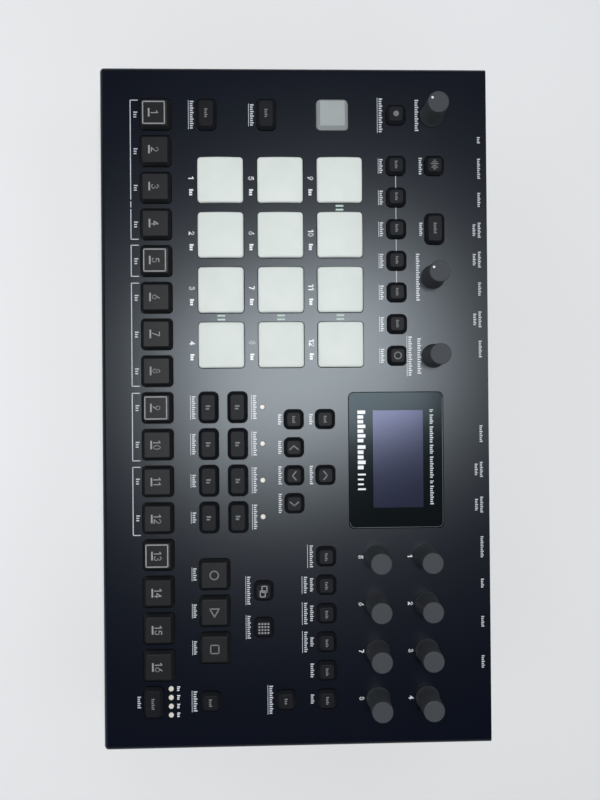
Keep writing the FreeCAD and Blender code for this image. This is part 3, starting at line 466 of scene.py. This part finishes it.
printed("screen_area", bm, oled, "chassis")
dress(["display_module"], oled)
bm = bmesh.new()
for u, length, cover in ((11.6, 19.0, 0.72), (29.3, 14.6, 0.72), (43.4, 11.2, 0.35)):
    word(bm, u, TITLE_V, length, TITLE_HEIGHT, h=PANE_PRINT, cover=cover)
printed("window_title_print", bm, white_ink, "chassis")
bm = bmesh.new()
for u, length in ((2.9, 1.8), (7.8, 5.8), (16.6, 9.8), (25.1, 5.6), (35.4, 12.8), (43.9, 2.0),
                  (51.4, 11.2)):
    word(bm, u, LINE_V, length, LINE_HEIGHT, h=PANE_PRINT)
printed("window_line_print", bm, ink, "chassis")
WINDOW_CENTRE, WINDOW, WINDOW_CORNER = (31.1, 166.1), (78.0, 54.4), 3.0
corners = [bow(WINDOW_CENTRE[0] + x * (WINDOW[0] / 2 - WINDOW_CORNER),
               WINDOW_CENTRE[1] + y * (WINDOW[1] / 2 - WINDOW_CORNER),
               WINDOW_CORNER, WINDOW_CORNER, start, start + 90, 6)
           for x, y, start in ((1, 1, 0), (-1, 1, 90), (-1, -1, 180), (1, -1, 270))]
outline = sum(corners, [])
# A black line all round the window's outline: painted shade in the gap round the pane, where its cut edge
# also shows dark.
bm = bmesh.new()
path(bm, outline + outline[:1], GAP_SHADE_STROKE, GAP_SHADE_HEIGHT)
printed("window_painted_gap_shade", bm, gap_shade_paint, "chassis")
# A pale strip just inside the border, along the window's right and rear sides only: a painted highlight where
# the pane's edge catches the lamp.
bm = bmesh.new()
inner = [(WINDOW_CENTRE[0] + (x - WINDOW_CENTRE[0]) * HIGHLIGHT_SHARE[0],
          WINDOW_CENTRE[1] + (y - WINDOW_CENTRE[1]) * HIGHLIGHT_SHARE[1]) for x, y in outline]
path(bm, inner[-7:] + inner[:8], HIGHLIGHT_STROKE, HIGHLIGHT_HEIGHT)
printed("window_painted_highlight", bm, highlight_strip_paint, "chassis")

# Keys: dark ABS caps with slanted rims, moulded in one piece and spark-eroded matt. Their
# legends are pad-printed in grey.
key_plastic, tree, shader = new_material("matt_charcoal_abs", "#131417", 0.47, Specular_IOR_Level=0.22)
grain(tree, shader, 0.35, 0.015, 0.3)
vary(tree, shader, "Base Color", 12, "#111215", "#151619")
pale_key, tree, shader = new_material("matt_pale_grey_abs", "#9da3a3", 0.5, Specular_IOR_Level=0.2)
grain(tree, shader, 0.35, 0.015, 0.3)
vary(tree, shader, "Base Color", 10, "#979d9d", "#9ea4a4")
small_key_plastic, tree, shader = new_material("fine_matt_charcoal_abs", "#111317", 0.5,
                                               Specular_IOR_Level=0.14)
grain(tree, shader, 0.3, 0.015, 0.3)
vary(tree, shader, "Base Color", 12, "#0f1115", "#13151a")
dress([name for name in nodes if name.startswith("step_key")], key_plastic)
dress(["transport_keys"], key_plastic)
dress(["scene_keys", "cursor_keys", "function_keys"], small_key_plastic)
dress(["bank_key"], pale_key)
LARGE_TOP, SMALL_TOP = 2.8, 2.5
STEP_FIGURE, STEP_STROKE, STEP_BAR = 4.1, 0.5, (4.8, 0.95)
BEAT_FRAME, BEAT_STROKE = (12.4, 12.2), 0.65
for i, (u, v) in enumerate(step_places):
    name = f"step_key_{i + 1:02d}"
    bm = bmesh.new()
    number(bm, str(i + 1), u, v, STEP_FIGURE, STEP_STROKE, LARGE_TOP)
    slab(bm, u, v - 3.2, *STEP_BAR, LARGE_TOP)
    if i % 4 == 0:
        frame_of(bm, u, v - 0.5, *BEAT_FRAME, BEAT_STROKE, LARGE_TOP)
    printed(name + "_print", bm, key_ink, name)

# Legends on the smaller keys: arrows, a ring, a triangle and a square on the keys that have
# such a sign, and blocks where a key has a word.
SIGN_STROKE = 0.7
bm = bmesh.new()
ring(bm, TRANSPORT_U, TRANSPORT_V, 2.35, SIGN_STROKE, LARGE_TOP)
u, v = TRANSPORT_U + COLUMN, TRANSPORT_V
path(bm, [(u - 1.9, v - 2.6), (u + 2.6, v), (u - 1.9, v + 2.6), (u - 1.9, v - 2.6)], SIGN_STROKE,
     LARGE_TOP)
frame_of(bm, TRANSPORT_U + 2 * COLUMN, TRANSPORT_V, 4.6, 4.6, SIGN_STROKE, LARGE_TOP)
printed("transport_print", bm, dim_ink, "transport_keys")
bm = bmesh.new()
for u, v in scene_places:
    word(bm, u, v, 3.0, 2.6, SMALL_TOP)
printed("scene_key_print", bm, dim_ink, "scene_keys")
bm = bmesh.new()
for name, angle in (("left", math.pi), ("down", -math.pi / 2), ("right", 0), ("up", math.pi / 2)):
    u, v = cursor_places[name]
    tip = Vector((math.cos(angle), math.sin(angle)))
    across = Vector((-tip.y, tip.x))
    middle = Vector((u, v))
    path(bm, [middle - tip + across * 2.3, middle + tip, middle - tip - across * 2.3],
         SIGN_STROKE, SMALL_TOP)
for name in ("confirm", "cancel"):
    word(bm, *cursor_places[name], 4.2, 1.7, SMALL_TOP)
printed("cursor_print", bm, dim_ink, "cursor_keys")
bm = bmesh.new()
for u, v in mode_places[:6] + page_places:
    word(bm, u, v, 4.6, 1.6, SMALL_TOP)
for i, height in enumerate((1.2, 3.0, 4.4, 2.4, 3.8, 1.6)):
    slab(bm, mode_places[0][0] - 2.5 + i, 189.3, 0.5, height, SMALL_TOP)
ring(bm, *mode_places[6], 1.9, 0.6, SMALL_TOP)
spot(bm, LEFT_U, 167.4, 1.6, SMALL_TOP)
for u, v, length in ((mode_places[2][0], 189.3, 6.5), (LEFT_U, 59.0, 5.5), (LEFT_U, 93.1, 5.0),
                     (RIGHT_U, 59.0, 4.6), (RIGHT_U, 101.8, 3.6), (RIGHT_U, 26.7, 6.5)):
    word(bm, u, v, length, 1.7, SMALL_TOP)
printed("function_print", bm, dim_ink, "function_keys")

# Signs on the two song keys, in a lighter grey: two linked squares and a grid of dots.
SONG_V, GRID_PITCH = 89.5, 1.7
bm = bmesh.new()
for side in (-1, 1):
    frame_of(bm, 104.7 + side * 1.3, SONG_V - side * 0.5, 3.4, 2.8, 0.55, SMALL_TOP)
for column in range(4):
    for row in range(4):
        slab(bm, 125.6 + GRID_PITCH * (column - 1.5), SONG_V + GRID_PITCH * (row - 1.5), 0.9, 1.0, SMALL_TOP)
printed("song_print", bm, key_ink, "function_keys")

# Pads: soft pads moulded in milky silicone rubber, crowned, with rolled edges, each pushed
# up through its own hole from a flange under the panel.
silicone, tree, shader = new_material("milky_silicone_rubber", "#cfd5d0", 0.55,
                                      Subsurface_Weight=0.15, Subsurface_Scale=0.004, Sheen_Weight=0.1)
shader.inputs["Subsurface Radius"].default_value = (1.0, 1.0, 0.9)
grain(tree, shader, 0.6, 0.01, 0.3)
vary(tree, shader, "Base Color", 14, "#cfd6d2", "#d5dbd7")
PAD, PAD_TOP, PAD_ROOT = 26.0, 2.7, -6.0
PAD_CORNER, PAD_EDGE, CROWN, CROWN_REACH = 1.9, 1.0, 0.75, 1.1
for i, (u, v) in enumerate(pad_places):
    name = f"pad_{i + 1:02d}"
    bm = bmesh.new()
    bmesh.ops.create_grid(bm, x_segments=12, y_segments=12, size=PAD / 2)
    top = list(bm.faces)
    side = bmesh.ops.extrude_face_region(bm, geom=top)
    raised = [g for g in side["geom"] if isinstance(g, bmesh.types.BMVert)]
    bmesh.ops.translate(bm, verts=raised, vec=(0, 0, PAD_TOP - PAD_ROOT))
    upright = [e for e in bm.edges if abs(e.verts[0].co.z - e.verts[1].co.z) > 1
               and abs(abs(e.verts[0].co.x) - PAD / 2) < 0.01 and abs(abs(e.verts[0].co.y) - PAD / 2) < 0.01]
    bmesh.ops.bevel(bm, geom=upright, offset=PAD_CORNER, segments=6, profile=0.5, affect="EDGES", material=-1)
    rim = [e for e in bm.edges if all(abs(w.co.z - (PAD_TOP - PAD_ROOT)) < 0.01 for w in e.verts)
           and any(abs(f.normal.z) < 0.3 for f in e.link_faces)]
    bmesh.ops.bevel(bm, geom=rim, offset=PAD_EDGE, segments=5, profile=0.5, affect="EDGES", material=-1)
    for vertex in bm.verts:
        if vertex.co.z > PAD_TOP - PAD_ROOT - CROWN_REACH:
            far = math.hypot(vertex.co.x, vertex.co.y) / (PAD / 2)
            vertex.co.z -= CROWN * far ** 2
    bmesh.ops.recalc_face_normals(bm, faces=bm.faces)
    bmesh.ops.translate(bm, verts=bm.verts, vec=(u, v, PAD_ROOT))
    bm.transform(PANEL)
    mesh = bpy.data.meshes.new(name + "_rubber")
    bm.to_mesh(mesh)
    bm.free()
    for face in mesh.polygons:
        face.use_smooth = True
    piece = link_piece(name + "_rubber", mesh, silicone)
    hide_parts(name)
    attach(piece, name)

# Knobs: turned caps with a flared foot and a flat top, in dark ABS under a soft matt
# lacquer, pushed on their spindles.
soft_lacquer, tree, shader = new_material("soft_touch_lacquered_abs", "#3b3e42", 0.6,
                                          Specular_IOR_Level=0.25)
grain(tree, shader, 0.3, 0.01, 0.3)
vary(tree, shader, "Roughness", 8, 0.57, 0.63)
dress([name for name in nodes if name.endswith("_knob") or name.startswith("data_knob")], soft_lacquer)
KNOB_TOP = 17.0
DOT_OFFSET, DOT_RADIUS = (2.2, 3.4), 0.65
for name, u, v in (("volume_knob", LEFT_U, 188.3), ("performance_knob", -74.0, 188.3)):
    bm = bmesh.new()
    spot(bm, u - DOT_OFFSET[0], v - DOT_OFFSET[1], DOT_RADIUS, KNOB_TOP)
    printed(name + "_dot", bm, white_ink, name)

# Light guides: clear styrene rods, ground flat, lit from the board behind them.
styrene, tree, shader = new_material("milky_styrene", "#d8d1c9", 0.35)
vary(tree, shader, "Base Color", 2, "#cfc8c0", "#e0dad2")
dress(["indicator_lights"], styrene)

# Rear sockets, power switch and inlets: moulded nylon bodies and a plated steel shell, held
# by the boards and let through the rear panel.
nylon, tree, shader = new_material("black_nylon", "#0f0f10", 0.42)
grain(tree, shader, 0.4, 0.012, 0.4)
dress(["jack_sockets", "midi_sockets", "dc_socket", "power_switch"], nylon)
gloss_nylon, tree, shader = new_material("polished_black_abs", "#0b0b0c", 0.22)
vary(tree, shader, "Roughness", 6, 0.2, 0.26)
dress(["power_rocker"], gloss_nylon)
plated, tree, shader = new_material("nickel_plated_steel", "#b9b7b0", 0.28, Metallic=1.0)
vary(tree, shader, "Roughness", 5, 0.24, 0.34)
dress(["usb_socket"], plated)
zinc, tree, shader = new_material("black_zinc_plated_screw", "#2a2a2c", 0.35, Metallic=1.0)
vary(tree, shader, "Roughness", 2, 0.3, 0.42)
dress(["case_screws"], zinc)

# Feet: short black rubber studs under the four corners.
foot_rubber, tree, shader = new_material("black_moulded_rubber", "#161616", 0.75)
grain(tree, shader, 0.8, 0.03, 0.6)
dress(["rubber_feet"], foot_rubber)

# Boards: glass-fibre laminate under a green solder mask, closed in the case.
laminate, tree, shader = new_material("green_solder_mask", "#0c3b22", 0.35)
vary(tree, shader, "Base Color", 6, "#0a3420", "#0f4428")
dress(["control_board", "main_board"], laminate)
